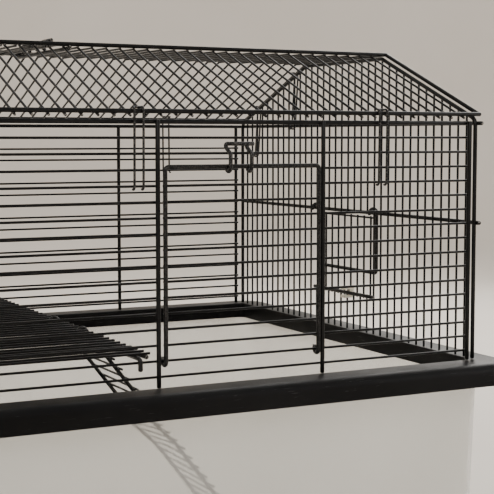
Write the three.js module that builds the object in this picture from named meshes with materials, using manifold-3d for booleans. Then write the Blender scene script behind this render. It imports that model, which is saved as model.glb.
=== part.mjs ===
// A small-animal cage: a deep clear tub, a black rim frame, a welded wire top with a hipped roof,
// a drop-down front door, a hanging side flap, a roof hatch, a wire shelf and a wire ladder.
// Wire clips hold the roof to the walls.
// Millimetres, +Z up, +X along the length, -Y is the front. The origin is on the floor under the middle.
import * as THREE from 'three';
import { mergeVertices } from 'three/addons/utils/BufferGeometryUtils.js';
import Module from 'manifold-3d';

const wasm = await Module();
wasm.setup();

// ---- Wire stock ----
const PITCH = 12; // centre to centre of neighbouring bars
const THIN = 1; // radius of the bars
const THICK = 1.8; // radius of the frame wires
const CLIP = 0.95; // radius of the roof clip wire
const LATCH = 1.6; // radius of the latch wire
const BITE = 0.25; // how far two welded wires sink into each other
const GAP = 0.35; // clearance where separate pieces meet
const THIN_ON_THICK = THIN + THICK - BITE; // centre distance of a bar welded on a frame wire
const THICK_ON_THICK = 2 * THICK - BITE;

// ---- Wire top ----
const HALF_LENGTH = 362.5; // to the bars of an end wall
const HALF_DEPTH = 18 * PITCH; // to the bars of the front or back wall
const BAY = 142; // spacing of the posts in the front and back walls
const ROWS = 16; // bars below the top wire of the front and back walls
const RIM_TOP = 288.5;
const WALL_TOP = 489; // centre of the top wire
const WALL_FOOT = RIM_TOP + GAP; // the wires stand on the rim
const POST_OUT = HALF_DEPTH + THIN_ON_THICK; // the posts stand outside the bars
const TOP_WIRE_OUT = POST_OUT - THICK_ON_THICK;
const rowHeight = (row) => WALL_TOP - row * PITCH;

// ---- Roof ----
const EAVE_HEIGHT = 496.5; // centre of the eave wires
const RIDGE_HEIGHT = 554; // centre of the ridge wires
const RIDGE_HALF = 6 * PITCH; // the flat top reaches this far to the front and back
const ROOF_PITCH = HALF_LENGTH / 29; // the roof bars are a little wider apart
const ROOF_SIDE_BARS = 28; // bars on each side of the middle one
const LONG_WIRE_END = HALF_LENGTH + 5.5; // round ends stand out past the end walls
const SLOPE_RUN = HALF_DEPTH - RIDGE_HALF;
const SLOPE_ANGLE = Math.atan2(RIDGE_HEIGHT - EAVE_HEIGHT, SLOPE_RUN);
const SLOPE_LENGTH = SLOPE_RUN / Math.cos(SLOPE_ANGLE);
const RAFTER_X = HALF_LENGTH + 3.5; // end rafters, level with the long wires and joined to their ends
const BORDER_DROP = 2 * THICK + GAP; // the end walls' bent frame wire under the long wires

// ---- End walls ----
const END_FRAME_HALF = HALF_DEPTH; // the frame wire's uprights
const END_BARS = 36; // spaces between the two uprights
const CROSS_ROW = 7; // the thick cross wire that carries the flap
const CROSS_OUT = HALF_LENGTH + THIN_ON_THICK; // cross wires lie outside the bars
const CROSS_STUB = 5; // its ends stand out past the corner
const TOP_CROSS_STUB = 6.5;
const SILL_HEIGHT = 325;
const BAR_STUB = 1.5; // cut bars end this far past the wire they are welded to
const FLAP_FIRST_BAR = 14; // bars counted from the back, cut away behind the flap
const FLAP_LAST_BAR = 22;
const endBarY = (index) => END_FRAME_HALF - index * PITCH;

// ---- Front door and its latch ----
const DOOR_LEFT = 76.6;
const DOOR_RIGHT = 209;
const DOOR_TOP = 455.1;
const DOOR_CORNER = 3;
const DOOR_HINGE_ROW = 15;
const DOOR_CURL = THIN + GAP + THICK; // curl of the door wire around the hinge bar
const DOOR_OUT = HALF_DEPTH + DOOR_CURL;
const LATCH_MIDDLE = 138.2;
const LATCH_HALF = 9; // half the distance between the two legs
const LATCH_ROW = 2;
const HOOK_ROOM = 0.4; // a latch hook passes the wire it catches at this distance
const DOOR_GRIP_OUT = -4.6; // the door latch's grip stands inside the wall
const DOOR_GRIP_UP = 17.2;
const DOOR_GRIP_STUB = 6.5;
const HATCH_GRIP_OUT = 8;

// ---- Roof hatch ----
const HATCH_FRAME_X = 55.3; // thick cross bars on both sides of the opening
const RIDGE_STUB = 2; // the ridge wires reach this far past those bars
const HATCH_BAR_X = 47.75;
const HATCH_HALF_DEPTH = 62;
const HATCH_SIDE_BARS = 3; // bars on each side of its middle one
const HATCH_LATCH_Y = 12;

// ---- Clips ----
const CLIP_HALF = 3.6; // half the distance between the two legs
const CLIP_ROW = 4; // bar that the clips of the long walls turn on
const CLIP_X = [56, 269];
const GABLE_CLIP_Y = { lower: endBarY(2), upper: endBarY(9) }; // their legs stand on both sides of a bar
const GABLE_TIE_HEIGHT = 459; // a short wire that the lower gable clip turns on
const GABLE_TIE_HALF = 9;

// ---- Shelf and ladder ----
const SHELF_RIGHT = 63.4; // its cross wires, from the right edge to the left
const SHELF_MIDDLE = -82;
const SHELF_LEFT = -211;
const SHELF_HOOK_INSET = 8.2; // the hooked cross wires run beside the two edge wires
const SHELF_WIRE_STUB = 2.3;
const SHELF_STUB = 3.5; // bars stand out past the edge wires
const SHELF_HEIGHT = 315;
const SHELF_HALF_DEPTH = 211.5;
const SHELF_SPACES = 35;
const SHELF_PITCH = (2 * SHELF_HALF_DEPTH) / SHELF_SPACES;
const SHELF_WIRE_HEIGHT = SHELF_HEIGHT - THIN_ON_THICK;
const LADDER_ANGLE = THREE.MathUtils.degToRad(52.4);
const LADDER_RAILS_Y = [-6 * SHELF_PITCH, 0];
const LADDER_LENGTH = 386;
const RUNG_PITCH = 11.8;
const RUNG_STUB = 6;

// ---- Rim and tub ----
const RIM_INNER = { x: HALF_LENGTH - 1, y: HALF_DEPTH - 1 };
const RIM_WIDTH = 31;
const RIM_HEIGHT = 18.5;
const RIM_WALL = 3;
const RIM_INNER_SKIRT = 16;
const RIM_ROUND = 8;
const TUB_OFFSET = 10; // the tub's outer wall, measured from the rim's inner edge
const TUB_WALL = 3;
const TUB_DRAFT = 10.5; // how much narrower each side is at the floor
const TUB_BOTTOM_ROUND = 10;
const TUB_LIP = 8;

// ---- Geometry helpers ----
const X_AXIS = new THREE.Vector3(1, 0, 0);
const Y_AXIS = new THREE.Vector3(0, 1, 0);
const point = (x, y, z) => new THREE.Vector3(x, y, z);

function solid(vertices, triangles) {
  const vertProperties = new Float32Array(vertices.flatMap((v) => [v.x, v.y, v.z]));
  const triVerts = new Uint32Array(triangles.flat());
  return new wasm.Manifold(new wasm.Mesh({ numProp: 3, vertProperties, triVerts }));
}

// A wire with a square section set on its corner, mitred at the bends.
// The path lies in the plane square to `side`.
function bentWire(path, radius, side) {
  const vertices = [];
  const triangles = [];
  const last = path.length - 1;
  path.forEach((here, i) => {
    const before = i > 0 ? here.clone().sub(path[i - 1]).normalize() : null;
    const after = i < last ? path[i + 1].clone().sub(here).normalize() : null;
    const along = (before ?? after).clone().add(after ?? before).normalize();
    const mitre = 1 / along.dot(after ?? before);
    const across = along.clone().cross(side).multiplyScalar(radius * mitre);
    const sideways = side.clone().multiplyScalar(radius);
    vertices.push(here.clone().add(sideways), here.clone().add(across));
    vertices.push(here.clone().sub(sideways), here.clone().sub(across));
  });
  for (let i = 0; i < last; i += 1) {
    for (let j = 0; j < 4; j += 1) {
      const a = 4 * i + j;
      const b = 4 * i + ((j + 1) % 4);
      triangles.push([a, b, b + 4], [a, b + 4, a + 4]);
    }
  }
  const end = 4 * last;
  triangles.push([0, 2, 1], [0, 3, 2], [end, end + 1, end + 2], [end, end + 2, end + 3]);
  return solid(vertices, triangles);
}

function wire(from, to, radius) {
  const alongX = Math.abs(to.x - from.x) > Math.abs(to.y - from.y) + Math.abs(to.z - from.z);
  return bentWire([from, to], radius, alongX ? Y_AXIS : X_AXIS);
}

const weld = (pieces) => pieces.reduce((whole, piece) => whole.add(piece));
const range = (first, last) => Array.from({ length: last - first + 1 }, (_, i) => first + i);

// Points of an arc in a plane, as [out, up] pairs, angles in degrees from `out` towards `up`.
function arc(centre, radius, from, to, step = 30) {
  const count = Math.max(1, Math.round(Math.abs(to - from) / step));
  return range(0, count).map((i) => {
    const angle = THREE.MathUtils.degToRad(from + ((to - from) * i) / count);
    return [centre[0] + radius * Math.cos(angle), centre[1] + radius * Math.sin(angle)];
  });
}

// Local planes for pieces that hang on a wall: `out` leaves the cage, `along` runs with the wall.
const wallPlane = (facing, x, z) => ({
  side: X_AXIS,
  at: (out, up, along) => point(x + along, facing * (HALF_DEPTH + out), z + up),
});
const frontPlane = (x, z) => wallPlane(-1, x, z);
const backPlane = (x, z) => wallPlane(1, x, z);
const endPlane = (end, y, z) => ({
  side: Y_AXIS,
  at: (out, up, along) => point(end * (HALF_LENGTH + out), y + along, z + up),
});

const inPlane = (path, plane, along = 0) => path.map(([out, up]) => plane.at(out, up, along));

const nodes = [];
const finishes = {
  blackWire: { color: 0x17181a, roughness: 0.38, metalness: 0.55 },
  blackPlastic: { color: 0x1b1b1c, roughness: 0.5, metalness: 0 },
  clearPlastic: { color: 0xd8d8d4, roughness: 0.18, metalness: 0, transparent: true, opacity: 0.35 },
  ivoryPlastic: { color: 0xd9d4c3, roughness: 0.45, metalness: 0 },
};

function addNode(name, body, finish) {
  const mesh = body.getMesh();
  const geometry = new THREE.BufferGeometry();
  geometry.setAttribute('position', new THREE.BufferAttribute(Float32Array.from(mesh.vertProperties), 3));
  geometry.setIndex(new THREE.BufferAttribute(Uint32Array.from(mesh.triVerts), 1));
  geometry.computeVertexNormals();
  const node = new THREE.Mesh(geometry, new THREE.MeshStandardMaterial(finishes[finish]));
  node.name = name;
  nodes.push(node);
}

// ---- Rim and tub: rings of points at a distance outside the rim's inner edge ----
const rimCorner = (offset) => 6 + 0.7 * offset; // the rim is nearly square inside and rounder outside
const tubCorner = (offset) => Math.max(22 + offset - TUB_OFFSET, 3);

function cornerRing(offset, z, radius, cornerSteps = 4) {
  const cx = RIM_INNER.x + offset - radius;
  const cy = RIM_INNER.y + offset - radius;
  const corners = [[cx, cy], [-cx, cy], [-cx, -cy], [cx, -cy]];
  return corners.flatMap((corner, quarter) => {
    const start = 90 * quarter;
    return arc(corner, radius, start, start + 90, 90 / cornerSteps).map(([x, y]) => point(x, y, z));
  });
}

// Skins neighbouring rings. A closed profile joins the last ring to the first, an open one gets two caps.
function ringSolid(rings, closed) {
  const count = rings[0].length;
  const triangles = [];
  const bands = closed ? rings.length : rings.length - 1;
  for (let r = 0; r < bands; r += 1) {
    const next = (r + 1) % rings.length;
    for (let i = 0; i < count; i += 1) {
      const j = (i + 1) % count;
      const [a, b, c, d] = [r * count + i, r * count + j, next * count + j, next * count + i];
      triangles.push([a, b, c], [a, c, d]);
    }
  }
  if (!closed) {
    const top = (rings.length - 1) * count;
    range(1, count - 2).forEach((i) => {
      triangles.push([0, i + 1, i], [top, top + i, top + i + 1]);
    });
  }
  return solid(rings.flat(), triangles);
}

function rimFrame() {
  const bottom = RIM_TOP - RIM_HEIGHT;
  const outerRound = arc([RIM_WIDTH - RIM_ROUND, RIM_TOP - RIM_ROUND], RIM_ROUND, 0, 90, 30);
  const profile = [
    [RIM_WIDTH - RIM_WALL, bottom],
    [RIM_WIDTH, bottom],
    ...outerRound,
    [1.5, RIM_TOP],
    [0, RIM_TOP - 1.5],
    [0, RIM_TOP - RIM_INNER_SKIRT],
    [RIM_WALL, RIM_TOP - RIM_INNER_SKIRT],
    [RIM_WALL, RIM_TOP - RIM_WALL],
    [RIM_WIDTH - RIM_ROUND, RIM_TOP - RIM_WALL],
    [RIM_WIDTH - RIM_WALL, RIM_TOP - RIM_ROUND],
  ];
  return ringSolid(profile.map(([offset, z]) => cornerRing(offset, z, rimCorner(offset))), true);
}

function tub() {
  const top = RIM_TOP - RIM_WALL - GAP;
  const foot = TUB_OFFSET - TUB_DRAFT;
  const shell = [
    [foot - TUB_BOTTOM_ROUND, 0],
    [foot - TUB_BOTTOM_ROUND * 0.3, TUB_BOTTOM_ROUND * 0.3],
    [foot, TUB_BOTTOM_ROUND],
    [TUB_OFFSET, top - TUB_WALL],
    [TUB_OFFSET + TUB_LIP, top - TUB_WALL],
    [TUB_OFFSET + TUB_LIP, top],
    [TUB_OFFSET - TUB_WALL, top],
    [foot - TUB_WALL, TUB_BOTTOM_ROUND],
    [foot - TUB_WALL - TUB_BOTTOM_ROUND * 0.5, TUB_WALL + 1.5],
    [foot - TUB_WALL - TUB_BOTTOM_ROUND, TUB_WALL],
  ];
  return ringSolid(shell.map(([offset, z]) => cornerRing(offset, z, tubCorner(offset))), false);
}

// ---- Front and back walls: `facing` is -1 at the front and +1 at the back ----
const POST_TOP = WALL_TOP + THICK;
const BACK_POSTS = range(-3, 2).map((bay) => (bay + 0.5) * BAY);
const DOOR_POSTS = [0.5 * BAY, 1.5 * BAY]; // the doorway lies between these two
const DOOR_POST_STUB = 2; // bars stand out past the posts beside the doorway
const HEADER_FOOT = rowHeight(LATCH_ROW) - PITCH / 2;
const DOORSILL_TOP = rowHeight(DOOR_HINGE_ROW) + PITCH / 2;
const ROW_END = 2.5 * BAY + 1.8; // just past the outermost posts
const TOP_WIRE_END = ROW_END + 3.5;

function wallPost(facing, x, from = WALL_FOOT, to = POST_TOP) {
  return wire(point(x, facing * POST_OUT, from), point(x, facing * POST_OUT, to), THICK);
}

// Row 0 is the thick top wire.
function wallRow(facing, row, from, to) {
  const y = facing * (row === 0 ? TOP_WIRE_OUT : HALF_DEPTH);
  return wire(point(from, y, rowHeight(row)), point(to, y, rowHeight(row)), row === 0 ? THICK : THIN);
}

const rowEnd = (row) => (row === 0 ? TOP_WIRE_END : ROW_END);
const besideDoor = (row) => row > LATCH_ROW && row < DOOR_HINGE_ROW;

function backWall() {
  const rows = range(0, ROWS).map((row) => wallRow(1, row, -rowEnd(row), rowEnd(row)));
  return weld([...rows, ...BACK_POSTS.map((x) => wallPost(1, x))]);
}

// The front wall is kept as four solids around the doorway.
// This is the part on one side of it: `side` is -1 for the left and +1 for the right.
function frontWallSide(side) {
  const doorPost = DOOR_POSTS[side < 0 ? 0 : 1];
  const rows = range(0, ROWS).map((row) => {
    const stub = besideDoor(row) ? DOOR_POST_STUB : -DOOR_POST_STUB - GAP;
    return wallRow(-1, row, doorPost - side * stub, side * rowEnd(row));
  });
  const fullPosts = BACK_POSTS.filter((x) => side * x > side * doorPost).map((x) => wallPost(-1, x));
  return weld([...rows, ...fullPosts, wallPost(-1, doorPost, DOORSILL_TOP + GAP, HEADER_FOOT - GAP)]);
}

// The rows above or below the doorway, with the ends of its two posts.
function frontWallStrip(firstRow, lastRow, from, to) {
  const [left, right] = DOOR_POSTS;
  const rows = range(firstRow, lastRow).map((row) =>
    wallRow(-1, row, left - DOOR_POST_STUB, right + DOOR_POST_STUB),
  );
  return weld([...rows, ...DOOR_POSTS.map((x) => wallPost(-1, x, from, to))]);
}

// Height of the line that is `drop` below the long roof wires, measured square to the roof.
function roofLine(y, drop) {
  const rise = (HALF_DEPTH - Math.abs(y)) * Math.tan(SLOPE_ANGLE);
  return Math.min(EAVE_HEIGHT + rise - drop / Math.cos(SLOPE_ANGLE), RIDGE_HEIGHT - drop);
}

// Where that line turns from the slope to the flat top.
const roofKnee = (drop) => RIDGE_HALF - drop * Math.tan(SLOPE_ANGLE / 2);

// `end` is +1 for the right wall, which has the flap's doorway, and -1 for the plain left wall.
function endWall(end) {
  const x = end * HALF_LENGTH;
  const crossX = end * CROSS_OUT;
  const kneeY = roofKnee(BORDER_DROP);
  const flat = RIDGE_HEIGHT - BORDER_DROP;
  const shoulder = roofLine(END_FRAME_HALF, BORDER_DROP);
  const frame = [
    point(x, -END_FRAME_HALF, WALL_FOOT),
    point(x, -END_FRAME_HALF, shoulder),
    point(x, -kneeY, flat),
    point(x, kneeY, flat),
    point(x, END_FRAME_HALF, shoulder),
    point(x, END_FRAME_HALF, WALL_FOOT),
  ];
  const pieces = [bentWire(frame, THICK, X_AXIS)];
  const crossHeight = rowHeight(CROSS_ROW);
  const crossWire = (fromY, toY, z) => {
    pieces.push(wire(point(crossX, fromY, z), point(crossX, toY, z), THICK));
  };
  const topEnd = END_FRAME_HALF + TOP_CROSS_STUB;
  const crossEnd = END_FRAME_HALF + CROSS_STUB;
  crossWire(-topEnd, topEnd, WALL_TOP);
  crossWire(-crossEnd, crossEnd, crossHeight);
  crossWire(GABLE_CLIP_Y.lower - GABLE_TIE_HALF, GABLE_CLIP_Y.lower + GABLE_TIE_HALF, GABLE_TIE_HEIGHT);
  range(1, END_BARS - 1).forEach((index) => {
    const y = endBarY(index);
    const top = roofLine(y, BORDER_DROP);
    const cut = end > 0 && index >= FLAP_FIRST_BAR && index <= FLAP_LAST_BAR;
    const cutSpans = [[WALL_FOOT, SILL_HEIGHT + BAR_STUB], [crossHeight - BAR_STUB, top]];
    const spans = cut ? cutSpans : [[WALL_FOOT, top]];
    spans.forEach(([from, to]) => pieces.push(wire(point(x, y, from), point(x, y, to), THIN)));
  });
  if (end > 0) {
    const sillX = x - THIN_ON_THICK;
    const sillFrom = point(sillX, endBarY(FLAP_LAST_BAR + 1) - 4, SILL_HEIGHT);
    const sillTo = point(sillX, endBarY(FLAP_FIRST_BAR) + 0.8, SILL_HEIGHT);
    pieces.push(wire(sillFrom, sillTo, THICK));
  }
  return weld(pieces);
}

// The right end wall is kept as four solids around its doorway, cut between two bars on each side of it.
function splitEndWall(wall) {
  const backCut = endBarY(FLAP_FIRST_BAR - 0.5);
  const frontCut = endBarY(FLAP_LAST_BAR + 0.5);
  const midHeight = (SILL_HEIGHT + rowHeight(CROSS_ROW)) / 2;
  const middle = wall.trimByPlane([0, -1, 0], GAP / 2 - backCut).trimByPlane([0, 1, 0], frontCut + GAP / 2);
  return {
    back: wall.trimByPlane([0, 1, 0], backCut + GAP / 2),
    front: wall.trimByPlane([0, -1, 0], GAP / 2 - frontCut),
    header: middle.trimByPlane([0, 0, 1], midHeight),
    sill: middle.trimByPlane([0, 0, -1], -midHeight),
  };
}

// ---- Roof ----
// A point on a slope: `up` from the eave along the slope, `drop` square below the long wires.
function slopePoint(facing, x, up, drop) {
  const y = HALF_DEPTH - up * Math.cos(SLOPE_ANGLE) - drop * Math.sin(SLOPE_ANGLE);
  const z = EAVE_HEIGHT + up * Math.sin(SLOPE_ANGLE) - drop * Math.cos(SLOPE_ANGLE);
  return point(x, facing * y, z);
}

// A slope has its eave wire and, beside the hatch opening, the ridge wire.
function roofSlope(facing) {
  const longWire = (y, z, end) => wire(point(-end, y, z), point(end, y, z), THICK);
  const ridgeEnd = HATCH_FRAME_X - RIDGE_STUB - GAP;
  const pieces = [
    longWire(facing * HALF_DEPTH, EAVE_HEIGHT, LONG_WIRE_END),
    longWire(facing * RIDGE_HALF, RIDGE_HEIGHT, ridgeEnd),
  ];
  [-RAFTER_X, RAFTER_X].forEach((x) => {
    pieces.push(wire(slopePoint(facing, x, -1, 0), slopePoint(facing, x, SLOPE_LENGTH - 4, 0), THICK));
  });
  range(-ROOF_SIDE_BARS, ROOF_SIDE_BARS).forEach((index) => {
    const x = index * ROOF_PITCH;
    const foot = slopePoint(facing, x, -3, THIN_ON_THICK);
    const top = SLOPE_LENGTH + (Math.abs(x) < ridgeEnd ? 1 : -3);
    pieces.push(wire(foot, slopePoint(facing, x, top, THIN_ON_THICK), THIN));
  });
  return weld(pieces);
}

// The flat top on one side of the hatch: `side` is -1 for the left and +1 for the right.
function roofTop(side) {
  const from = side * (HATCH_FRAME_X - RIDGE_STUB);
  const pieces = [-RIDGE_HALF, RIDGE_HALF].map((y) =>
    wire(point(from, y, RIDGE_HEIGHT), point(side * LONG_WIRE_END, y, RIDGE_HEIGHT), THICK),
  );
  const acrossTop = (x, drop, radius) => {
    const [front, back] = [-RIDGE_HALF - 1, RIDGE_HALF + 1].map((y) => point(x, y, RIDGE_HEIGHT - drop));
    pieces.push(wire(front, back, radius));
  };
  acrossTop(side * HATCH_FRAME_X, THICK_ON_THICK, THICK);
  acrossTop(side * RAFTER_X, 0, THICK);
  range(1, ROOF_SIDE_BARS).forEach((index) => {
    const x = index * ROOF_PITCH;
    if (x > HATCH_FRAME_X + PITCH / 2) acrossTop(side * x, THIN_ON_THICK, THIN);
  });
  return weld(pieces);
}

// ---- Roof clip: two legs with curled feet around a pivot wire, joined by a bar over the held wire ----
function roofClip(plane, pivotOut, pivotRadius, heldOut, heldUp, lift) {
  const curl = pivotRadius + GAP + CLIP;
  const hook = THICK + GAP + CLIP + lift;
  const path = [...arc([pivotOut, 0], curl, 235, 360), ...arc([heldOut, heldUp], hook, 0, 105)];
  const legs = [-CLIP_HALF, CLIP_HALF].map((along) =>
    bentWire(inPlane(path, plane, along), CLIP, plane.side),
  );
  const [endOut, endUp] = path[path.length - 1];
  const reach = CLIP_HALF + CLIP / 2;
  const bar = wire(plane.at(endOut, endUp, -reach), plane.at(endOut, endUp, reach), CLIP);
  return weld([...legs, bar]);
}

const LONG_WALL_CLIP_RISE = EAVE_HEIGHT - rowHeight(CLIP_ROW);

function longWallClip(makePlane, x) {
  return roofClip(makePlane(x, rowHeight(CLIP_ROW)), 0, THIN, 0, LONG_WALL_CLIP_RISE, 0);
}

function gableClip(end, y, pivotHeight) {
  const rise = roofLine(y, 0) - pivotHeight;
  const lift = CLIP_HALF * Math.tan(SLOPE_ANGLE) + 0.5; // the rafter climbs between the two legs
  const rafterOut = RAFTER_X - HALF_LENGTH;
  return roofClip(endPlane(end, y, pivotHeight), THIN_ON_THICK, THICK, rafterOut, rise, lift);
}

// ---- Latches: two legs curled around a bar of the door, led past the wire they catch, and a grip bar ----
// `reach` is the distance from that bar to the caught wire.
const LATCH_CURL = THICK + GAP + LATCH;
const latchFoot = arc([0, 0], LATCH_CURL, 200, 360);

function latch(plane, legPaths, [gripOut, gripUp], gripFrom, gripTo) {
  const legs = [-LATCH_HALF, LATCH_HALF].flatMap((along) =>
    legPaths.map((path) => bentWire(inPlane(path, plane, along), LATCH, plane.side)),
  );
  return weld([...legs, wire(plane.at(gripOut, gripUp, gripFrom), plane.at(gripOut, gripUp, gripTo), LATCH)]);
}

// Each leg goes over the caught wire and up on its inner side.
function doorLatch(plane, reach) {
  const grip = [DOOR_GRIP_OUT, DOOR_GRIP_UP];
  const leg = [...latchFoot, [LATCH_CURL, reach - 0.5], [DOOR_GRIP_OUT, reach + 4.7], grip];
  return latch(plane, [leg], grip, -LATCH_HALF - LATCH / 2, LATCH_HALF + DOOR_GRIP_STUB);
}

// Each leg stands on the outer side and has a short hook over the caught bar.
function hatchLatch(plane, reach) {
  const hookUp = reach + THICK + LATCH + HOOK_ROOM;
  const grip = [HATCH_GRIP_OUT, hookUp + 5.5];
  const leg = [...latchFoot, [LATCH_CURL, reach - 1], grip];
  const hook = [[LATCH_CURL, reach - 2.5], [-0.5, hookUp], [-4.2, hookUp]];
  return latch(plane, [leg, hook], grip, -LATCH_HALF - 3, LATCH_HALF + 3);
}

// ---- Front door: a bent frame wire with two feet curled around a bar of the wall, and its own rows ----
function frontDoor() {
  const hingeZ = rowHeight(DOOR_HINGE_ROW);
  const barY = -(DOOR_OUT - THIN_ON_THICK); // the bars lie inside the frame wire
  const pieces = [DOOR_LEFT, DOOR_RIGHT].map((x) => {
    const plane = frontPlane(x, hingeZ);
    const path = [...arc([0, 0], DOOR_CURL, 130, 360), [DOOR_CURL, DOOR_TOP - hingeZ - DOOR_CORNER]];
    return bentWire(inPlane(path, plane), THICK, X_AXIS);
  });
  const top = [
    point(DOOR_LEFT, -DOOR_OUT, DOOR_TOP - DOOR_CORNER - 2),
    point(DOOR_LEFT, -DOOR_OUT, DOOR_TOP - DOOR_CORNER),
    point(DOOR_LEFT + DOOR_CORNER * 0.3, -DOOR_OUT, DOOR_TOP - DOOR_CORNER * 0.3),
    point(DOOR_LEFT + DOOR_CORNER, -DOOR_OUT, DOOR_TOP),
    point(DOOR_RIGHT - DOOR_CORNER, -DOOR_OUT, DOOR_TOP),
    point(DOOR_RIGHT - DOOR_CORNER * 0.3, -DOOR_OUT, DOOR_TOP - DOOR_CORNER * 0.3),
    point(DOOR_RIGHT, -DOOR_OUT, DOOR_TOP - DOOR_CORNER),
    point(DOOR_RIGHT, -DOOR_OUT, DOOR_TOP - DOOR_CORNER - 2),
  ];
  pieces.push(bentWire(top, THICK, Y_AXIS));
  range(CLIP_ROW, DOOR_HINGE_ROW - 1).forEach((row) => {
    const z = rowHeight(row);
    pieces.push(wire(point(DOOR_LEFT - 1, barY, z), point(DOOR_RIGHT + 1, barY, z), THIN));
  });
  return weld(pieces);
}

// ---- Side flap: hangs by two hooks on the thick cross wire of the right end wall ----
const FLAP_CURL = 2 * THICK + GAP;
const FLAP_SIDES_Y = [endBarY(FLAP_FIRST_BAR - 0.5), endBarY(FLAP_LAST_BAR + 0.5)];
const FLAP_DROP = 58; // hinge to bottom bar
const FLAP_OUT = THIN_ON_THICK + FLAP_CURL; // plane of the flap's frame, outside the wall's bars
const FLAP_BAR_OUT = FLAP_OUT - THIN_ON_THICK;
const FLAP_TIE_OUT = FLAP_BAR_OUT + 2 * THIN - BITE;
const FLAP_FOOT = SILL_HEIGHT - 4;

function sideFlap() {
  const hingeZ = rowHeight(CROSS_ROW);
  const pieces = FLAP_SIDES_Y.map((y) => {
    const plane = endPlane(1, y, hingeZ);
    const path = [[FLAP_OUT, -FLAP_DROP - THICK], ...arc([THIN_ON_THICK, 0], FLAP_CURL, 0, 210)];
    return bentWire(inPlane(path, plane), THICK, Y_AXIS);
  });
  const barX = HALF_LENGTH + FLAP_OUT;
  const bottomZ = hingeZ - FLAP_DROP;
  const [backY, frontY] = FLAP_SIDES_Y;
  pieces.push(wire(point(barX, frontY - 1, bottomZ), point(barX, backY + 1, bottomZ), THICK));
  const tieX = HALF_LENGTH + FLAP_TIE_OUT;
  const tieZ = hingeZ - 5;
  pieces.push(wire(point(tieX, frontY - 1, tieZ), point(tieX, backY + 1, tieZ), THIN));
  range(FLAP_FIRST_BAR, FLAP_LAST_BAR).forEach((index) => {
    const x = HALF_LENGTH + FLAP_BAR_OUT;
    const y = endBarY(index);
    pieces.push(wire(point(x, y, FLAP_FOOT), point(x, y, tieZ + 2), THIN));
  });
  return weld(pieces);
}

// ---- Flap catch: a moulded block on one bar of the flap, with a jaw that slides over the sill ----
const CATCH_BAR = 19; // counted like the other bars of the end wall
const CATCH_HALF_WIDTH = 3;
const CATCH_HALF_HEIGHT = 5.5;
const JAW_HALF = 2.7;

// A box from three [low, high] pairs.
function boxSolid(x, y, z) {
  const geometry = new THREE.BoxGeometry(x[1] - x[0], y[1] - y[0], z[1] - z[0]);
  geometry.translate((x[0] + x[1]) / 2, (y[0] + y[1]) / 2, (z[0] + z[1]) / 2);
  geometry.deleteAttribute('normal');
  geometry.deleteAttribute('uv');
  const merged = mergeVertices(geometry);
  const vertProperties = Float32Array.from(merged.getAttribute('position').array);
  const triVerts = Uint32Array.from(merged.getIndex().array);
  return new wasm.Manifold(new wasm.Mesh({ numProp: 3, vertProperties, triVerts }));
}

function flapCatch() {
  const barX = HALF_LENGTH + FLAP_BAR_OUT;
  const inner = HALF_LENGTH - THIN_ON_THICK - THICK - 1.65;
  const outer = barX + THIN + 1.5;
  const across = (half) => [endBarY(CATCH_BAR) - half, endBarY(CATCH_BAR) + half];
  const upright = (half) => [SILL_HEIGHT - half, SILL_HEIGHT + half];
  const past = CATCH_HALF_HEIGHT + 1;
  const block = boxSolid([inner, outer], across(CATCH_HALF_WIDTH), upright(CATCH_HALF_HEIGHT));
  const jawEnd = HALF_LENGTH + THIN + GAP;
  const jaw = boxSolid([inner - 1, jawEnd], across(CATCH_HALF_WIDTH + 1), upright(JAW_HALF));
  const lowerHalf = [SILL_HEIGHT - past, SILL_HEIGHT];
  const wallBarSlot = boxSolid([inner - 1, jawEnd], across(THIN + 0.7), lowerHalf);
  const flapBarSlot = boxSolid([barX - THIN - GAP, barX + THIN + GAP], across(THIN + GAP), upright(past));
  return block.subtract(jaw).subtract(wallBarSlot).subtract(flapBarSlot);
}

// ---- Roof hatch: hinged by two curls on the left cross bar, its side wires rest on the right one ----
const HATCH_PIVOT_Z = RIDGE_HEIGHT - THICK_ON_THICK;
const HATCH_Z = HATCH_PIVOT_Z + 2 * THICK + GAP;

function roofHatch() {
  const curl = 2 * THICK + GAP;
  const pieces = [-HATCH_HALF_DEPTH, HATCH_HALF_DEPTH].map((y) => {
    const around = arc([-HATCH_FRAME_X, HATCH_PIVOT_Z], curl, 330, 90).map(([x, z]) => point(x, y, z));
    return bentWire([...around, point(HATCH_FRAME_X + 4, y, HATCH_Z)], THICK, Y_AXIS);
  });
  [-HATCH_BAR_X + 4, HATCH_BAR_X].forEach((x) => {
    const end = HATCH_HALF_DEPTH + 1;
    pieces.push(wire(point(x, -end, HATCH_Z), point(x, end, HATCH_Z), THICK));
  });
  range(-HATCH_SIDE_BARS, HATCH_SIDE_BARS).forEach((index) => {
    const x = index * ROOF_PITCH;
    const z = HATCH_Z - THIN_ON_THICK;
    const end = HATCH_HALF_DEPTH + 1;
    pieces.push(wire(point(x, -end, z), point(x, end, z), THIN));
  });
  return weld(pieces);
}

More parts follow.
